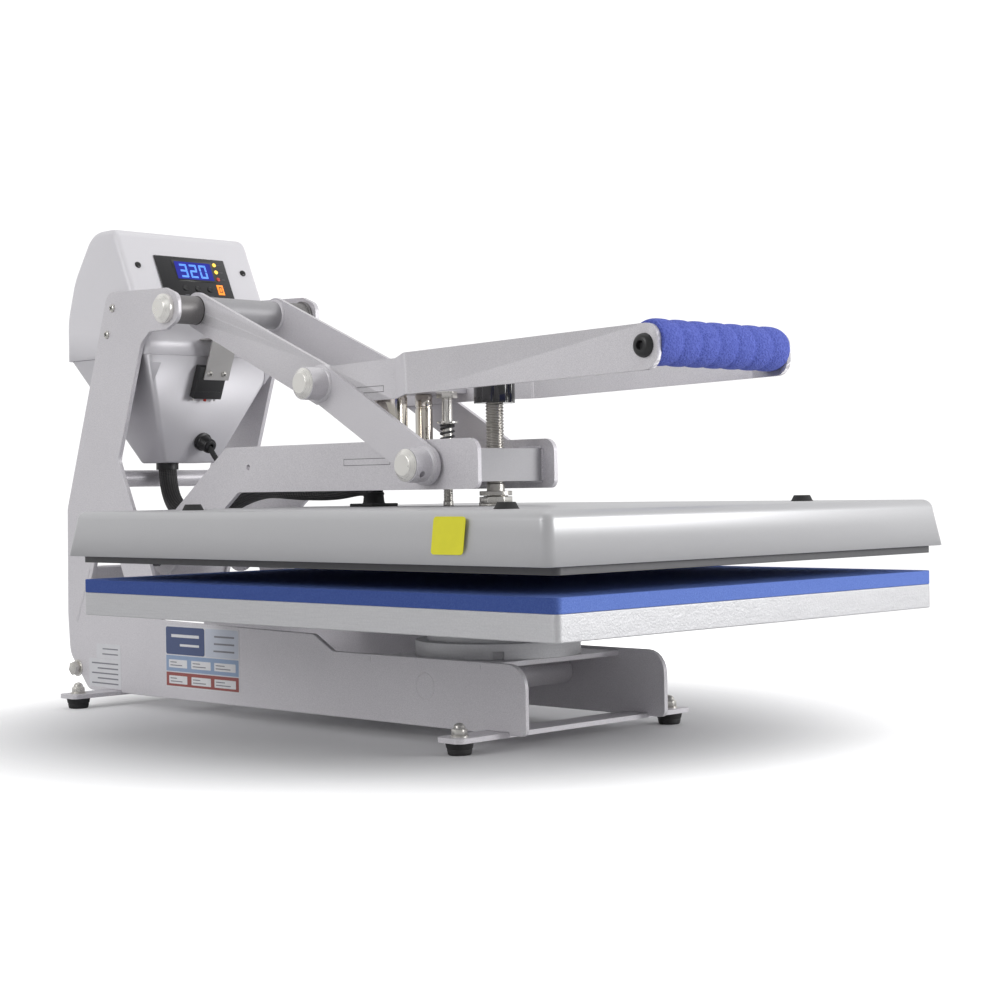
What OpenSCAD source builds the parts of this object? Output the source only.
// Swing-lever heat press: a fixed base with a padded lower platen, a heated upper platen on a
// hinged beam, and a toggle lever that closes it. All lengths are millimetres.
// X is across the machine, Y runs to the rear, Z is up from the surface it stands on.

/* [Platens] */
// Width of both platens
platen_w = 406.4; // [380:0.1:420]
// Depth of both platens
platen_d = 508; // [480:1:520]
// Height of the pad's working face above the table
pad_top = 118.8; // [114:0.1:124]
// Thickness of the silicone foam pad
pad_t = 10; // [8:0.5:12]
// Thickness of the cast lower platen
lower_platen_t = 17.6; // [14:0.1:20]
// Gap between the pad and the heated face with the press closed and unloaded
pressing_gap = 13.2; // [12.8:0.1:16]
// Travel of the heated platen that the pressure screw gives
pressure_travel = 12.5; // [6:0.5:12.5]

/* [Heater cover] */
// Width of the cover at its lower edge
cover_w = 430.6; // [425:0.1:436]
// Depth of the cover at its lower edge
cover_d = 517.4; // [514:0.1:524]
// Height of the cover's lower edge above the table
cover_bottom = 137.5; // [136:0.5:140]
// Height of the cover's top above the table
cover_top = 171.5; // [170:0.5:173]
// Sheet thickness of the cover
cover_wall = 1.6; // [1.2:0.1:2.5]

/* [Frame] */
// Outside width over the two side frames
frame_w = 153.6; // [150:0.1:156]
// Thickness of the side frames and lever plates
plate_t = 4; // [3:0.5:5]
// Spacing of the feet across the machine
feet_across = 225.6; // [215:0.1:240]
// Height of the rubber feet
foot_h = 9; // [8:0.5:12]

/* [Linkage] */
// Outside width over the beam's side plates
beam_w = 86; // [84:0.5:87]
// Outside width over the lever plates at the pivots
lever_w = 89.6; // [89:0.1:90]
// Outside width over the lever plates at the grip
lever_grip_w = 145; // [144:1:156]
// Diameter of the pivot shafts
pivot_d = 16; // [14:0.5:18]
// Width of the lever, link and strip plates
strip_h = 31; // [28:0.5:33]
// Running clearance of every pivot, on the radius
running_gap = 0.05; // [0.02:0.01:0.1]

/* [Grip] */
// Diameter of the foam grip
grip_d = 31.6; // [28:0.2:33]
// Diameter of the steel bar inside the grip
grip_bar_d = 16; // [14:0.5:18]

/* [Control box] */
// Width of the control box
box_w = 144; // [140:1:145]
// Wall thickness of the control box
box_wall = 2; // [1.5:0.1:3]

/* [Hidden] */
$fn = 64;

// The layout is drawn about the platen's centre, then moved so that the frame's origin is
// under the middle of the whole machine.
box_rear = 476;
platen_y = -(box_rear - cover_d / 2) / 2;

// Heights
pad_bottom = pad_top - pad_t;
platen_bottom = pad_bottom - lower_platen_t;
heat_bottom = pad_top + pressing_gap;
heat_casting_t = 17;
heat_casting_top = heat_bottom + heat_casting_t;
strap_t = 3.6;
strap_top = foot_h + strap_t;
base_bottom = 10.6;
base_deck = 59;

// Widths
frame_out = frame_w / 2;
frame_in = frame_out - plate_t;
beam_out = beam_w / 2;
beam_in = beam_out - plate_t;
lever_out = lever_w / 2;
lever_in = lever_out - plate_t;
grip_out = lever_grip_w / 2;
grip_in = grip_out - plate_t;
link_in = lever_out + 0.5;
link_out = link_in + plate_t;
boss_out = link_in + 21.7;
pin_end = boss_out + 4;
shaft_end = 84.8;

// Pivots, as [Y, Z] behind the platen's centre
rear_pivot = [372, 133];
upper_pivot = [316, 341.3];
knee = [147, 270];
beam_joint = [28, 203];
grip_at = [-213, 277.5];
pivot_r = pivot_d / 2;
bore_r = pivot_r + running_gap;
boss_r = 13;

// The lever's straight strip climbs slightly towards the grip.
strip_tilt = 1.36;
strip_top = 287.3;

// Moves a shape from the platen-centred layout to the machine's own frame.
module placed() {
    translate([0, platen_y, 0]) children();
}

// Makes the same shape on both sides of the machine.
module both_sides() {
    children();
    mirror([1, 0, 0]) children();
}

// A cylinder along X from x0 to x1 at a [Y, Z] point.
module bar_x(x0, x1, at, r) {
    translate([x0, at[0], at[1]]) rotate([0, 90, 0]) cylinder(r = r, h = x1 - x0);
}

// A tube along X.
module tube_x(x0, x1, at, r_out, r_in) {
    difference() {
        bar_x(x0, x1, at, r_out);
        bar_x(x0 - 1, x1 + 1, at, r_in);
    }
}

// A plate of a [Y, Z] outline from x0 to x1.
module plate_x(x0, x1, outline) {
    translate([x0, 0, 0]) rotate([90, 0, 90]) linear_extrude(x1 - x0) polygon(outline);
}

function unit(v) = v / norm(v);

// Rounds each corner [a, b, radius] of an outline with an arc.
function corner_arc(p, q, s, r, steps) =
    let (
        a = unit([p[0] - q[0], p[1] - q[1]]),
        b = unit([s[0] - q[0], s[1] - q[1]]),
        half = acos(max(-1, min(1, a * b))) / 2,
        middle = [q[0], q[1]] + unit(a + b) * r / sin(half),
        from = [q[0], q[1]] + a * r / tan(half) - middle,
        sweep = (180 - 2 * half) * sign(a[0] * b[1] - a[1] * b[0])
    )
    [for (i = [0:steps])
        let (t = -sweep * i / steps)
        middle + [from[0] * cos(t) - from[1] * sin(t), from[0] * sin(t) + from[1] * cos(t)]];

function rounded(pts, steps = 6) =
    let (n = len(pts))
    [for (i = [0:n - 1])
        each (pts[i][2] > 0
            ? corner_arc(pts[(i + n - 1) % n], pts[i], pts[(i + 1) % n], pts[i][2], steps)
            : [[pts[i][0], pts[i][1]]])];

// A round tube swept along a route of points.
module swept_tube(route, r, sides = 10) {
    n = len(route);
    rings = [for (i = [0:n - 1])
        let (
            along = unit(route[min(i + 1, n - 1)] - route[max(i - 1, 0)]),
            side = unit(cross(along, [1, 0, 0.02])),
            up = cross(side, along)
        )
        each [for (k = [0:sides - 1])
            route[i] + r * (cos(k * 360 / sides) * side + sin(k * 360 / sides) * up)]];
    walls = [for (i = [0:n - 2], k = [0:sides - 1])
        let (m = (k + 1) % sides)
        [i * sides + k, i * sides + m, (i + 1) * sides + m, (i + 1) * sides + k]];
    start = [for (k = [sides - 1:-1:0]) k];
    end = [for (k = [0:sides - 1]) (n - 1) * sides + k];
    polyhedron(points = rings, faces = concat(walls, [start], [end]), convexity = 4);
}

// A block with rounded upright corners, standing on z.
module rounded_block(w, d, h, r, z) {
    translate([0, 0, z]) linear_extrude(h)
        polygon(rounded([[-w / 2, -d / 2, r], [w / 2, -d / 2, r], [w / 2, d / 2, r],
            [-w / 2, d / 2, r]]));
}

// ---------------------------------------------------------------- base frame

side_outline = [
    [-102.9, base_bottom, 5], [442, base_bottom, 14], [471, 42, 18], [473.6, 78, 30],
    [471.8, 172, 20], [403, 362, 12], [316, 359, 0], [298, 352, 10], [298, 331, 11],
    [316, 323.4, 6], [340, 323.4, 8], [353, 314, 12], [390, 214, 10], [340, 112, 24],
    [336, 76.6, 12], [127, 73.4, 10], [104, 61, 10], [-102.9, 61, 17]];
window_outline = [[374, 88, 6], [444, 88, 6], [419, 150, 6], [401, 150, 6]];
front_foot_y = -73.6;
rear_foot_y = 403;
strap_w = 25;
deck_front = -58;
deck_rear = 62;
deck_tube = [0, 40.2];
rear_tube = [300, 40.2];
column_tube = [428, 198.5];
lean_top = [437.3, 121.2];
lean_bottom = [461.1, 68.6];

module side_frame() {
    color([0.72, 0.71, 0.74]) placed() difference() {
        plate_x(frame_in, frame_out, rounded(side_outline));
        plate_x(frame_in - 1, frame_out + 1, rounded(window_outline));
        bar_x(frame_in - 1, frame_out + 1, upper_pivot, pivot_r);
        bar_x(frame_in - 1, frame_out + 1, rear_pivot, pivot_r);
        for (y = [front_foot_y, rear_foot_y])
            translate([frame_in - 1, y - strap_w / 2, 0]) cube([plate_t + 2, strap_w, strap_top]);
    }
}

module left_side_frame() mirror([1, 0, 0]) side_frame();
module right_side_frame() side_frame();

// The deck under the hub and the leaning plate that ties the columns together.
module cross_plates() {
    lean = unit(lean_top - lean_bottom);
    across = [lean[1], -lean[0]] * plate_t;
    color([0.72, 0.71, 0.74]) placed() {
        translate([-frame_in, deck_front, base_deck - plate_t])
            cube([2 * frame_in, deck_rear - deck_front, plate_t]);
        plate_x(-frame_in, frame_in,
            [lean_bottom, lean_top, lean_top - across, lean_bottom - across]);
    }
}

module foot_straps() {
    color([0.72, 0.71, 0.74]) placed() for (y = [front_foot_y, rear_foot_y])
        difference() {
            translate([0, y, 0])
                rounded_block(feet_across + strap_w, strap_w, strap_t, 6, foot_h);
            for (side = [-1, 1])
                translate([side * feet_across / 2, y, 0]) cylinder(r = 3, h = 30);
        }
}

// Two round tubes in the base and one between the columns.
module cross_tubes() {
    color([0.72, 0.71, 0.74]) placed() {
        tube_x(-frame_in, frame_in, deck_tube, 9.5, 7.5);
        tube_x(-frame_in, frame_in, rear_tube, 9.5, 7.5);
        tube_x(-frame_in, frame_in, column_tube, 7.5, 5.5);
    }
}

module at_feet() {
    for (side = [-1, 1], y = [front_foot_y, rear_foot_y])
        translate([side * feet_across / 2, y, 0]) children();
}

module rubber_feet() {
    color([0.08, 0.08, 0.08]) placed() at_feet()
        cylinder(r1 = 8.3, r2 = 10, h = foot_h);
}

// A stud through the strap with an acorn nut on top.
module foot_nuts() {
    stud_r = 3;
    color([0.8, 0.8, 0.82]) placed() at_feet() {
        translate([0, 0, foot_h]) cylinder(r = stud_r, h = strap_t);
        translate([0, 0, strap_top]) cylinder(r = 6.6, h = 1);
        translate([0, 0, strap_top + 1]) cylinder(r = 5, h = 4.5, $fn = 6);
        translate([0, 0, strap_top + 5.5]) difference() {
            sphere(r = 4.2);
            translate([0, 0, -10]) cube([20, 20, 20], center = true);
        }
    }
}

// ---------------------------------------------------------------- lower platen

hub_r = 63;
hub_screw_r = 42;

module platen_hub() {
    color([0.75, 0.75, 0.76]) placed() difference() {
        union() {
            translate([0, 0, base_deck]) cylinder(r = hub_r, h = 12);
            translate([0, 0, base_deck + 12])
                cylinder(r = hub_r - 9, h = platen_bottom - base_deck - 12);
        }
        for (k = [0:3]) rotate(45 + 90 * k)
            translate([hub_r - 4, -4, base_deck - 1]) cube([8, 8, 7]);
        for (k = [0:3]) rotate(45 + 90 * k)
            translate([hub_screw_r, 0, base_deck - 1]) cylinder(r = 4, h = 60);
    }
}

module lower_platen() {
    color([0.8, 0.8, 0.81]) placed()
        rounded_block(platen_w, platen_d, lower_platen_t, 5, platen_bottom);
}

module silicone_pad() {
    color([0.25, 0.38, 0.75]) placed()
        rounded_block(platen_w, platen_d, pad_t, 5, pad_bottom);
}

// ---------------------------------------------------------------- pivots on the frame

// A turned shaft whose two ends carry wide chamfered heads.
module headed_shaft(at, shoulder, tip, head_r, flat_r) {
    bar_x(-shoulder, shoulder, at, pivot_r);
    both_sides() translate([shoulder, at[0], at[1]]) rotate([0, 90, 0]) {
        cylinder(r = head_r, h = (tip - shoulder) / 2);
        translate([0, 0, (tip - shoulder) / 2])
            cylinder(r1 = head_r, r2 = flat_r, h = (tip - shoulder) / 2);
    }
}

module upper_pivot_shaft() {
    color([0.8, 0.79, 0.76]) placed()
        headed_shaft(upper_pivot, frame_out, shaft_end, 12.5, 8);
}

// Flanged tubes that keep the lever central between the columns.
module upper_pivot_spacers() {
    spacer_in = lever_out + 0.4;
    color([0.7, 0.69, 0.72]) placed() both_sides() difference() {
        union() {
            bar_x(spacer_in, frame_in, upper_pivot, 12.2);
            bar_x(frame_in - 3, frame_in, upper_pivot, 14);
        }
        bar_x(spacer_in - 1, frame_in + 1, upper_pivot, pivot_r);
    }
}

module rear_pivot_shaft() {
    color([0.75, 0.75, 0.77]) placed() bar_x(-frame_out, frame_out, rear_pivot, pivot_r);
}

// Torsion springs on the rear shaft that lift the beam when the lever lets go.
module lift_springs() {
    wire_r = 2;
    turns = 6;
    color([0.3, 0.3, 0.32]) placed() both_sides()
        for (k = [0:turns - 1])
            translate([beam_out + 3 + wire_r + k * (2 * wire_r + 0.2), rear_pivot[0], rear_pivot[1]])
                rotate([0, 90, 0]) rotate_extrude() translate([pivot_r + wire_r + 0.2, 0])
                    circle(r = wire_r, $fn = 16);
}

// ---------------------------------------------------------------- control box

seam_z = 305;
face_foot = [352.3, 318];
face_head = [398, 418];
box_outline = [
    [350.5, seam_z, 0], [face_foot[0], face_foot[1], 10], [face_head[0], face_head[1], 12],
    [434, 418, 26], [463.5, 378, 60], [box_rear, 342, 60], [box_rear, seam_z, 0]];
inner_outline = [
    [353, seam_z - 1], [356, face_foot[1]], [399, 410], [406, 415],
    [427, 415], [437, 409], [460.5, 377], [473, 341], [473, seam_z - 1]];
face_lean = atan2(face_head[0] - face_foot[0], face_head[1] - face_foot[1]);
hopper_top = seam_z - 0.5;
hopper_bottom = 212;

// Places a shape on the sloping front face: x across, y up the face, z out of it, measured
// from the face's middle at the height of the pivot's centre line.
module on_face() {
    along = (upper_pivot[1] - face_foot[1]) / cos(face_lean);
    translate([0, face_foot[0], face_foot[1]]) rotate([90 - face_lean, 0, 0])
        translate([0, along, 0]) children();
}

// Places a shape on the hopper's sloping rear face: x across, y up the face, z out of it.
hopper_rear_top = 470;
hopper_rear_bottom = 424;
rear_lean = atan2(hopper_rear_top - hopper_rear_bottom, hopper_top - hopper_bottom);
module on_rear() {
    translate([0, hopper_rear_bottom, hopper_bottom]) rotate([90 - rear_lean, 0, 0])
        mirror([0, 0, 1]) children();
}

display_w = 76.4;
display_h = 47;
display_low = 13;
button_x = [-14, -0.5, 13];
button_up = 27.6;
button_r = 2.7;

module box_upper_shell() {
    color([0.83, 0.82, 0.85]) placed() difference() {
        plate_x(-box_w / 2, box_w / 2, rounded(box_outline));
        plate_x(-box_w / 2 + box_wall, box_w / 2 - box_wall, inner_outline);
        on_face() translate([-display_w / 2 + 4, display_low + 4, -6])
            cube([display_w - 8, display_h - 8, 12]);
    }
}

// The folded lower shell narrows towards its base like a hopper.
module hopper(inset) {
    hull() {
        translate([-frame_in + 1.4 + inset, 349 + inset, hopper_top - 0.1])
            cube([2 * (frame_in - 1.4 - inset), hopper_rear_top - 349 - 2 * inset, 0.1]);
        translate([-30 + inset, 388 + inset, hopper_bottom + inset])
            cube([60 - 2 * inset, hopper_rear_bottom - 388 - 2 * inset, 0.1]);
    }
}

inlet_up = 62;
rocker_up = 28;

module box_lower_shell() {
    color([0.8, 0.79, 0.82]) placed() difference() {
        hopper(0);
        hopper(1.6);
        translate([-60, 352, hopper_top - 1]) cube([120, 115, 4]);
        translate(gland_at) rotate([90 + front_lean, 0, 0]) translate([0, 0, -8])
            cylinder(r = gland_r + 0.1, h = 10);
        on_rear() translate([-21, inlet_up - 10, -8]) cube([42, 20, 16]);
        on_rear() translate([-10, rocker_up - 7, -8]) cube([20, 14, 16]);
    }
}

// The dark bezel with its window and lamps, as separate pieces.
module display_panel() {
    bezel_t = 1.5;
    placed() on_face() {
        color([0.06, 0.06, 0.07]) difference() {
            translate([-display_w / 2, display_low, 0.05])
                cube([display_w, display_h, bezel_t]);
            for (x = button_x) translate([x, button_up, -2]) cylinder(r = button_r + 0.3, h = 6);
        }
        color([0.1, 0.2, 0.9]) translate([-19, 37, bezel_t + 0.05]) cube([39.5, 17.6, 0.5]);
        color([1, 0.7, 0.1]) for (y = [39.1, 46.5, 53.9])
            translate([24.4, y, bezel_t + 0.05]) cylinder(r = 1.9, h = 0.5);
        color([1, 0.4, 0.1]) translate([21.4, 23, bezel_t + 0.05]) cube([6.6, 10, 0.5]);
    }
}

// One of the three round push buttons in the bezel.
module push_button(x) {
    color([0.1, 0.1, 0.1]) placed() on_face()
        translate([x, button_up, -1]) cylinder(r = button_r, h = 3.6);
}
module mode_button() push_button(button_x[0]);
module down_button() push_button(button_x[1]);
module up_button() push_button(button_x[2]);

// The circuit board behind the face with its transformer and the heater's relay.
module control_board() {
    placed() on_face() {
        color([0.1, 0.4, 0.2]) translate([-45, 6, -12]) cube([90, 62, 1.6]);
        color([0.15, 0.15, 0.15]) translate([-36, 12, -34]) cube([30, 26, 22]);
        color([0.2, 0.2, 0.25]) translate([6, 14, -38]) cube([28, 36, 26]);
    }
}

module power_inlet() {
    color([0.07, 0.07, 0.07]) placed() on_rear() translate([0, inlet_up, 0]) difference() {
        union() {
            translate([-24, -13, 0.1]) cube([48, 26, 3]);
            translate([-20, -9, -20]) cube([40, 18, 20.2]);
        }
        translate([-12, -6, -14]) cube([24, 12, 20]);
    }
}

// The rocker turns about a line across the box, just under the rear face.
rocker_pin_depth = 1.5;
module power_rocker() {
    color([0.05, 0.05, 0.05]) placed() on_rear()
        translate([-9, rocker_up - 6, -4]) cube([18, 12, 7]);
}

// The strain relief on the hopper's front face and the conduit's fitting under its base.
front_lean = atan2(388 - 349, hopper_top - hopper_bottom);
gland_at = [6, 379.6, 231];
gland_r = 5.5;
conduit_x = -12;
conduit_y = 408;
conduit_r = 8.5;
module cable_glands() {
    color([0.1, 0.1, 0.1]) placed() translate(gland_at) rotate([90 + front_lean, 0, 0])
        difference() {
            union() {
                cylinder(r = 7, h = 6);
                translate([0, 0, -6]) cylinder(r = gland_r, h = 6);
            }
            translate([0, 0, -7]) cylinder(r = 2.6, h = 20);
        }
    color([0.7, 0.7, 0.7]) placed() translate([conduit_x, conduit_y, hopper_bottom - 6])
        difference() {
            cylinder(r = conduit_r + 1.5, h = 6);
            translate([0, 0, -1]) cylinder(r = conduit_r, h = 8);
        }
}

// Places a shape on the hopper's sloping front face: x across, y up the face, z out of it.
module on_front() {
    translate([0, 388, hopper_bottom]) rotate([90 + front_lean, 0, 0]) children();
}

// The limit switch that senses the lever, held off the hopper by a bracket from the box.
switch_left = -20;
switch_w = 30;
switch_foot = 63.7;
switch_h = 29.8;
switch_t = 7.2;
plunger_x = -5;
plunger_out = 4.6;
plunger_r = 1.4;
bracket_out = 8.25;
bracket_t = 1.6;
module limit_switch() {
    color([0.07, 0.07, 0.07]) placed() on_front() difference() {
        translate([switch_left, switch_foot, 1]) cube([switch_w, switch_h, switch_t]);
        translate([plunger_x, switch_foot - 1, plunger_out]) rotate([-90, 0, 0])
            cylinder(r = plunger_r + 0.2, h = 9);
    }
}

module switch_plunger() {
    color([0.8, 0.2, 0.15]) placed() on_front()
        translate([plunger_x, switch_foot - 3, plunger_out]) rotate([-90, 0, 0])
            cylinder(r = plunger_r, h = 8);
}

// A [Y, Z] point beside the hopper's front face.
function beside_front(up, out) = [
    388 - up * sin(front_lean) - out * cos(front_lean),
    hopper_bottom + up * cos(front_lean) - out * sin(front_lean)];
bracket_x = [-15, 12];
bracket_foot = 82.3;
bracket_outline = [
    beside_front(bracket_foot, bracket_out + bracket_t), beside_front(bracket_foot, bracket_out),
    beside_front(119.4, bracket_out), [352.7, 318.8], [352.7, 320.4],
    beside_front(121.8, bracket_out + bracket_t)];
module switch_bracket() {
    color([0.65, 0.65, 0.66]) placed() plate_x(bracket_x[0], bracket_x[1], bracket_outline);
}

// Fasteners on the frame and box: rear bolts, hub screws, box screws and switch screws.
rear_bolt = [458.7, 29];
box_side_screws = [[394.7, 347.4], [403.9, 324.8]];
module frame_screws() {
    color([0.75, 0.75, 0.77]) placed() {
        both_sides() {
            bar_x(frame_out, frame_out + 1, rear_bolt, 7.5);
            translate([frame_out + 1, rear_bolt[0], rear_bolt[1]]) rotate([0, 90, 0])
                cylinder(r = 6.4, h = 5, $fn = 6);
            for (at = box_side_screws) bar_x(frame_out, frame_out + 1.6, at, 3.6);
            on_face() translate([57.5, 48.7, 0.02]) cylinder(r = 3, h = 1.4);
        }
        for (k = [0:3]) rotate(45 + 90 * k)
            translate([hub_screw_r, 0, base_deck]) cylinder(r = 3.9, h = 8);
        on_front() for (x = [-10.1, 5.1])
            translate([x, 88.2, bracket_out + bracket_t]) cylinder(r = 2.6, h = 1.8);
    }
}

// ---------------------------------------------------------------- beam

tail_r = 20;
beam_low = 184.5;
beam_high = 222.5;
beam_front = -24.7;
tail_along = unit(rear_pivot - [268.3, 205.6]);
tail_side = [-tail_along[1], tail_along[0]] * tail_r;
tail_top = rear_pivot + tail_side;
tail_under = rear_pivot - tail_side;
beam_outline = [
    [beam_front, beam_low, 6], [264, beam_low, 8], [tail_under[0], tail_under[1], 0],
    [tail_top[0], tail_top[1], 0], [280, beam_high, 8], [beam_front, beam_high, 10]];
magnet_plate_z = 205;
magnet_at = [-17, 99.7];
plunger_at = [17, 97.4];
guide_y = 52.5;
guide_r = 3.9;
front_tube_z = 190;
tube_side = 25;
screw_r = 7;

module beam_plate() {
    color([0.72, 0.71, 0.74]) placed() difference() {
        union() {
            plate_x(beam_in, beam_out, rounded(beam_outline));
            bar_x(beam_in, beam_out, rear_pivot, tail_r);
        }
        bar_x(beam_in - 1, beam_out + 1, rear_pivot, bore_r);
        bar_x(beam_in - 1, beam_out + 1, beam_joint, pivot_r);
        bar_x(beam_in - 1, beam_out + 1, [249.6, 205.3], 2.4);
    }
}
module beam_left_plate() mirror([1, 0, 0]) beam_plate();
module beam_right_plate() beam_plate();

// The square cross tube that the pressure screw threads through.
module beam_front_tube() {
    wall = 3;
    color([0.74, 0.73, 0.76]) placed() difference() {
        translate([-beam_in, -tube_side / 2, front_tube_z])
            cube([2 * beam_in, tube_side, tube_side]);
        for (side = [-1, 1])
            translate([side > 0 ? 13 : -beam_in - 1, -tube_side / 2 + wall, front_tube_z + wall])
                cube([beam_in - 12, tube_side - 2 * wall, tube_side - 2 * wall]);
        translate([0, 0, front_tube_z - 1]) cylinder(r = screw_r + running_gap, h = tube_side + 2);
    }
}

module beam_magnet_plate() {
    plate_front = 41;
    plate_rear = 127;
    color([0.72, 0.71, 0.74]) placed() difference() {
        translate([-beam_in, plate_front, magnet_plate_z])
            cube([2 * beam_in, plate_rear - plate_front, plate_t]);
        translate([0, guide_y, magnet_plate_z - 1]) cylinder(r = guide_r + 0.1, h = plate_t + 2);
    }
}

module beam_rear_tube() {
    color([0.72, 0.71, 0.74]) placed() tube_x(-beam_in, beam_in, rear_pivot, 13, bore_r);
}

module link_pin() {
    color([0.8, 0.79, 0.76]) placed() {
        bar_x(-boss_out - 0.3, boss_out + 0.3, beam_joint, pivot_r);
        both_sides() translate([boss_out + 0.3, beam_joint[0], beam_joint[1]]) rotate([0, 90, 0])
            cylinder(r1 = 12.5, r2 = 8, h = pin_end - boss_out - 0.3);
    }
}

magnet_top = 260.6;
module electromagnet() {
    color([0.8, 0.78, 0.75]) placed()
        translate([magnet_at[0], magnet_at[1], magnet_plate_z + plate_t])
            cylinder(r = 13.5, h = magnet_top - magnet_plate_z - plate_t);
}

module release_plunger() {
    color([0.8, 0.78, 0.75]) placed()
        translate([plunger_at[0], plunger_at[1], magnet_plate_z + plate_t])
            cylinder(r = 7, h = magnet_top - magnet_plate_z - plate_t);
}

// ---------------------------------------------------------------- heated platen

element_r = 4;
element_rows = [-150, -90, -30, 30, 90, 150];
element_run = 190;
element_lead = 12;

// The element runs up and down the casting, with square turns at its ends.
module element(r) {
    for (x = element_rows)
        translate([x, -element_run - element_lead, heat_casting_top]) rotate([-90, 0, 0])
            cylinder(r = r, h = 2 * (element_run + element_lead));
    for (k = [0:4])
        bar_x(element_rows[k], element_rows[k + 1],
            [(k % 2 ? -1 : 1) * element_run, heat_casting_top], r);
}

module heat_casting() {
    color([0.3, 0.3, 0.3]) placed() difference() {
        rounded_block(platen_w, platen_d, heat_casting_t, 5, heat_bottom);
        element(element_r);
    }
}

module heating_element() {
    color([0.35, 0.33, 0.3]) placed() element(element_r);
}

board_w = 376;
board_d = 466;
module insulation_board() {
    board_bottom = heat_casting_top + element_r + 0.5;
    color([0.85, 0.83, 0.75]) placed()
        rounded_block(board_w, board_d, cover_top - cover_wall - 0.5 - board_bottom, 14,
            board_bottom);
}

// The cover's outline shrinks as it climbs: [height share, inset].
cover_steps = [[0, 0], [0.35, 2.2], [0.68, 6], [0.9, 11.5], [1, 18]];
cover_corner = 8;
module cover_body(inset) {
    hull() for (s = cover_steps)
        rounded_block(cover_w - 2 * s[1] - 2 * inset, cover_d - 2 * s[1] - 2 * inset, 0.05,
            cover_corner, cover_bottom + (cover_top - cover_bottom - 0.05 - inset) * s[0]);
}

module heat_cover() {
    color([0.7, 0.7, 0.71]) placed() difference() {
        cover_body(0);
        cover_body(cover_wall);
        rounded_block(cover_w - 2 * cover_wall - 1, cover_d - 2 * cover_wall - 1, 2, cover_corner - 1,
            cover_bottom - 1);
    }
}

plug_at = [159, 169];
module cover_plugs() {
    color([0.06, 0.06, 0.06]) placed()
        for (x = [-1, 1], y = [-1, 1]) translate([x * plug_at[0], y * plug_at[1], cover_top])
            cylinder(r1 = 8, r2 = 6, h = 4.5);
}

socket_h = 7.5;
module swivel_socket() {
    color([0.78, 0.78, 0.76]) placed() difference() {
        union() {
            translate([0, 0, cover_top]) cylinder(r = 13, h = 2.5);
            translate([0, 0, cover_top + 2.5]) cylinder(r1 = 11.5, r2 = 10.5, h = socket_h - 2.5);
        }
        translate([0, 0, cover_top + 3]) cylinder(r = screw_r + running_gap, h = 20);
    }
}

washer_z = 236;
module guide_bolt() {
    color([0.78, 0.78, 0.78]) placed() translate([0, guide_y, 0]) {
        translate([0, 0, cover_top]) cylinder(r = guide_r, h = 255.5 - cover_top);
        translate([0, 0, washer_z]) cylinder(r = 8, h = 1.4);
        translate([0, 0, 255.5]) cylinder(r = 8.3, h = 5.2, $fn = 6);
    }
}

boot_at = [-4, 136];
module terminal_boot() {
    color([0.08, 0.08, 0.08]) placed() translate([boot_at[0], boot_at[1], cover_top]) {
        translate([-12, -12, 0]) cube([24, 24, 3.2]);
        translate([0, 0, 3.2]) cylinder(r1 = 10, r2 = 8.6, h = 8.9);
    }
}

spring_r = 5.8;
spring_wire = 1.2;
module guide_spring() {
    spring_foot = magnet_plate_z + plate_t + 0.2;
    rows = 7;
    pitch = (washer_z - 0.2 - spring_foot - spring_wire) / (rows - 1);
    color([0.6, 0.6, 0.6]) placed() translate([0, guide_y, spring_foot + spring_wire / 2])
        for (k = [0:rows - 1]) translate([0, 0, k * pitch]) rotate_extrude()
            translate([spring_r - spring_wire / 2, 0]) circle(r = spring_wire / 2, $fn = 16);
}

knob_low = 249.5;
knob_high = 273;
module pressure_screw() {
    color([0.6, 0.59, 0.57]) placed() {
        translate([0, 0, cover_top + 3.4]) cylinder(r = screw_r, h = knob_low + 8 - cover_top - 3.4);
        translate([0, 0, cover_top + socket_h + 0.3]) cylinder(r = 12.5, h = 3.4);
    }
}

// A fluted hand knob pressed on the screw's top.
module pressure_knob() {
    knob_r = 16;
    flutes = 8;
    color([0.05, 0.05, 0.05]) placed() difference() {
        translate([0, 0, knob_low]) cylinder(r = knob_r, h = knob_high - knob_low);
        for (k = [0:flutes - 1]) rotate(360 * k / flutes + 22.5)
            translate([knob_r + 2, 0, knob_low - 1]) cylinder(r = 4, h = 40, $fn = 32);
        translate([0, 0, knob_low - 1]) cylinder(r = screw_r, h = 9);
    }
}

// ---------------------------------------------------------------- lever

jog_rear = 70;
jog_front = 25;
arm_along = unit(knee - upper_pivot);
arm_side = [-arm_along[1], arm_along[0]] * strip_h / 2;
elbow_y = 146;
strip_drop = tan(strip_tilt);
function strip_at(y) = strip_top - y * strip_drop;
arm_outline = [
    upper_pivot + arm_side, upper_pivot - arm_side,
    [elbow_y - 4, strip_at(elbow_y)], [jog_rear, strip_at(jog_rear)],
    [jog_rear, strip_at(jog_rear) - strip_h], [elbow_y + 11, strip_at(elbow_y) - strip_h + 1]];

// Seen from above, the plate steps outwards and then runs straight to the grip.
jog_outline = [
    [lever_in, jog_rear + 1, 0], [lever_in, jog_rear - 5, 11], [grip_in, jog_front, 8],
    [grip_in, grip_at[0] + 20, 0], [grip_out, grip_at[0] + 20, 0], [grip_out, jog_front - 2.5, 12],
    [lever_out, jog_rear - 7.5, 7], [lever_out, jog_rear + 1, 0]];

// The plate ends in rounded corners just beyond the grip's screw.
end_tip = grip_at[0] - 11.5;
end_root = grip_at[0] + 30;
end_outline = [
    [end_root, strip_at(end_root), 0], [end_tip, strip_at(end_tip), 10.5],
    [end_tip, strip_at(end_tip) - strip_h, 10.5], [end_root, strip_at(end_root) - strip_h, 0]];

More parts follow.
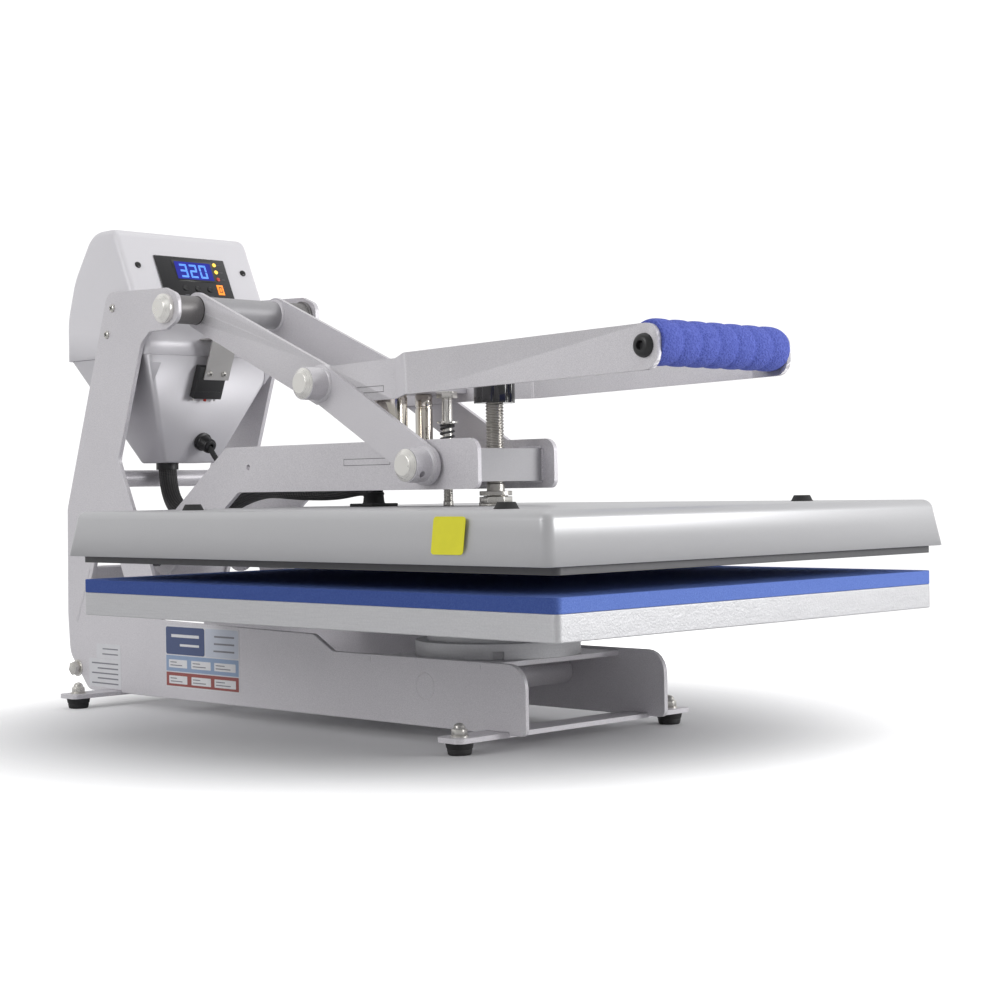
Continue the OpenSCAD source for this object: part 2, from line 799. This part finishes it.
module lever_plate() {
    color([0.72, 0.71, 0.74]) placed() difference() {
        union() {
            plate_x(lever_in, lever_out, arm_outline);
            bar_x(lever_in, lever_out, upper_pivot, strip_h / 2);
            translate([0, 0, strip_top]) rotate([-strip_tilt, 0, 0])
                translate([0, 0, -strip_h]) linear_extrude(strip_h) polygon(rounded(jog_outline));
            plate_x(grip_in, grip_out, rounded(end_outline));
        }
        bar_x(lever_in - 1, lever_out + 1, upper_pivot, bore_r);
    }
}
module lever_left_plate() mirror([1, 0, 0]) lever_plate();
module lever_right_plate() lever_plate();

module lever_centre_tube() {
    color([0.72, 0.71, 0.74]) placed() tube_x(-lever_in, lever_in, upper_pivot, 12.2, bore_r);
}

module armature_plate() {
    color([0.72, 0.71, 0.74]) placed() translate([-lever_in, 72, magnet_top + 0.4])
        cube([2 * lever_in, 47, plate_t]);
}

module handle_bar() {
    color([0.5, 0.5, 0.5]) placed()
        tube_x(-grip_in, grip_in, grip_at, grip_bar_d / 2, grip_bar_d / 2 - 2.5);
}

// The foam sleeve sits a little high on its bar.
sleeve_at = grip_at + [0, 2.6];
module foam_grip() {
    color([0.25, 0.35, 0.85]) placed() difference() {
        bar_x(-grip_in + 0.4, grip_in - 0.4, sleeve_at, grip_d / 2);
        bar_x(-grip_in - 1, grip_in + 1, grip_at, grip_bar_d / 2);
    }
}

module handle_screws() {
    color([0.08, 0.08, 0.08]) placed() both_sides() difference() {
        translate([grip_out, grip_at[0], grip_at[1]]) rotate([0, 90, 0])
            cylinder(r1 = 8.2, r2 = 6.5, h = 4.4);
        translate([grip_out + 2.4, grip_at[0], grip_at[1]]) rotate([0, 90, 0])
            cylinder(r = 2.9, h = 4, $fn = 6);
    }
}

// ---------------------------------------------------------------- links

module link() {
    along = unit(beam_joint - knee);
    side = [-along[1], along[0]] * strip_h / 2;
    color([0.72, 0.71, 0.74]) placed() difference() {
        union() {
            plate_x(link_in, link_out,
                [knee + side, knee - side, beam_joint - side, beam_joint + side]);
            for (at = [knee, beam_joint]) {
                bar_x(link_in, link_out, at, strip_h / 2);
                bar_x(link_out, boss_out, at, boss_r);
            }
        }
        bar_x(link_in - 1, boss_out + 1, knee, pivot_r);
        bar_x(link_in - 1, boss_out + 1, beam_joint, bore_r);
        translate([(link_out + boss_out) / 2 + 2, beam_joint[0] - 20, beam_joint[1] - 7])
            rotate([-90, 0, 0]) cylinder(r = 2.4, h = 14);
    }
}
module link_left() mirror([1, 0, 0]) link();
module link_right() link();

// The knee's pins are fixed in the links and stop just short of the lever plates.
module knee_pins() {
    color([0.8, 0.79, 0.76]) placed() both_sides() {
        bar_x(link_in + 0.1, boss_out, knee, pivot_r);
        translate([boss_out, knee[0], knee[1]]) rotate([0, 90, 0])
            cylinder(r1 = 12.5, r2 = 8, h = pin_end - boss_out);
    }
}

// ---------------------------------------------------------------- wiring

// Routes as [X, Y, Z] behind the platen's centre.
conduit_drop = [
    [-12, 408, 209], [-12, 407, 196], [-12, 404, 184], [-12, 398, 172]];
conduit_run = [
    [-12, 346, 163.5], [-12, 330, 169], [-12, 312, 176], [-12, 292, 182.5],
    [-11, 272, 187], [-9, 255, 187.5], [-7, 232, 185.5], [-4, 206, 184.5], [-3, 182, 184.5],
    [-4, 161, 185.5]];
magnet_lead = [
    [6, 371, 227.5], [6, 364, 220], [7, 358, 212], [9, 350, 205]];

module conduit_rear() {
    color([0.07, 0.07, 0.07]) placed() swept_tube(conduit_drop, conduit_r - 0.3);
}
module conduit_front() {
    color([0.07, 0.07, 0.07]) placed() swept_tube(conduit_run, conduit_r - 0.3);
}
module magnet_cable() {
    color([0.07, 0.07, 0.07]) placed() swept_tube(magnet_lead, 2.5, 8);
}

left_side_frame();
right_side_frame();
cross_plates();
foot_straps();
cross_tubes();
rubber_feet();
foot_nuts();
frame_screws();
platen_hub();
lower_platen();
silicone_pad();
upper_pivot_shaft();
upper_pivot_spacers();
rear_pivot_shaft();
lift_springs();
box_upper_shell();
box_lower_shell();
display_panel();
control_board();
power_inlet();
cable_glands();
limit_switch();
switch_bracket();
conduit_rear();
magnet_cable();
mode_button();
down_button();
up_button();
power_rocker();
switch_plunger();
beam_left_plate();
beam_right_plate();
beam_front_tube();
beam_magnet_plate();
beam_rear_tube();
link_pin();
electromagnet();
release_plunger();
heat_casting();
heating_element();
insulation_board();
heat_cover();
cover_plugs();
swivel_socket();
guide_bolt();
terminal_boot();
conduit_front();
guide_spring();
pressure_screw();
pressure_knob();
lever_left_plate();
lever_right_plate();
lever_centre_tube();
armature_plate();
handle_bar();
foam_grip();
handle_screws();
link_left();
link_right();
knee_pins();
